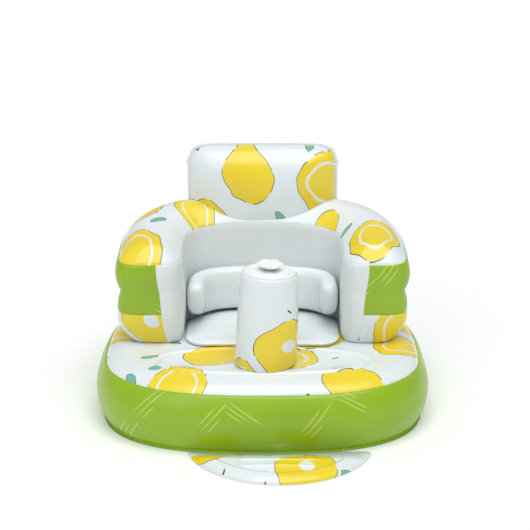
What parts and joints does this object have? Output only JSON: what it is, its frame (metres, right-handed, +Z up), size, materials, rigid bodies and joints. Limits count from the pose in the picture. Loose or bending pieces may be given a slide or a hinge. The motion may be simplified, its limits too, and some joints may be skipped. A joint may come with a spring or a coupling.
{
  "type": "inflatable infant floor seat",
  "caption": "Inflatable vinyl floor seat with an oval air base, a horseshoe arm and back tube, a headrest, a front post with a squeaker button and a foot pump pad.",
  "frame": {"origin": "on the floor under the middle of the oval base", "axes": "+Z up, the seat faces -Y, +X is to the right in the front view"},
  "size_m": [0.516, 0.531, 0.3803],
  "materials": {
    "printed_vinyl": "glossy welded vinyl sheet, white with a printed pattern",
    "plain_vinyl": "glossy welded vinyl sheet, plain white",
    "lime_vinyl": "glossy welded vinyl sheet, lime green with lighter streaks",
    "clear_vinyl": "soft moulded vinyl, nearly clear",
    "soft_white": "soft moulded vinyl, warm white and satin",
    "foam": "open-cell foam"
  },
  "bodies": {
    "seat": {"base_floor_sheet": "plain_vinyl", "base_chamber": "printed_vinyl", "base_side_band": "lime_vinyl", "lower_arm_chamber": "plain_vinyl", "waist_web": "plain_vinyl", "upper_arm_chamber": "printed_vinyl", "arm_side_panel": "lime_vinyl", "arm_foot_panel": "printed_vinyl", "inner_wall_panel": "plain_vinyl", "seat_bolster": "plain_vinyl", "seat_cushion": "plain_vinyl", "headrest_front": "printed_vinyl", "headrest_back": "printed_vinyl", "headrest_seam": "plain_vinyl", "post_chamber": "printed_vinyl", "post_top_disc": "plain_vinyl", "squeaker_cup": "clear_vinyl", "squeaker_reed": "clear_vinyl", "squeaker_bellows": "clear_vinyl", "pump_collar": "printed_vinyl", "pump_foam_core": "foam", "base_valve_body": "clear_vinyl", "base_valve_flap": "clear_vinyl", "back_valve_body": "clear_vinyl", "back_valve_flap": "clear_vinyl", "headrest_valve_body": "clear_vinyl", "headrest_valve_flap": "clear_vinyl"},
    "squeaker_button": {"flower_button": "soft_white"},
    "pump_pad": {"pump_press_panel": "printed_vinyl"},
    "base_plug": {"base_valve_plug": "clear_vinyl"},
    "back_plug": {"back_valve_plug": "clear_vinyl"},
    "headrest_plug": {"headrest_valve_plug": "clear_vinyl"}
  },
  "joints": [
    {"name": "button_press", "type": "slide", "parent": "seat", "child": "squeaker_button", "axis": [-0.0454, 0, -0.999], "range_m": [0, 0.0035], "stiffness_N_per_m": 600, "deforming": ["squeaker_bellows"]},
    {"name": "pump_press", "type": "slide", "parent": "seat", "child": "pump_pad", "axis": [0, 0, -1], "range_m": [0, 0.005], "stiffness_N_per_m": 2000, "deforming": ["pump_foam_core"]},
    {"name": "base_plug_swing", "type": "hinge", "parent": "seat", "child": "base_plug", "pos_m": [0, 0.2198, 0.0595], "axis": [1, 0, 0], "range_deg": [0, 120]},
    {"name": "back_plug_swing", "type": "hinge", "parent": "seat", "child": "back_plug", "pos_m": [0, 0.1957, 0.1578], "axis": [1, 0, 0], "range_deg": [0, 120]},
    {"name": "headrest_plug_swing", "type": "hinge", "parent": "seat", "child": "headrest_plug", "pos_m": [0, 0.1952, 0.3288], "axis": [1, 0, 0], "range_deg": [0, 120]}
  ]
}
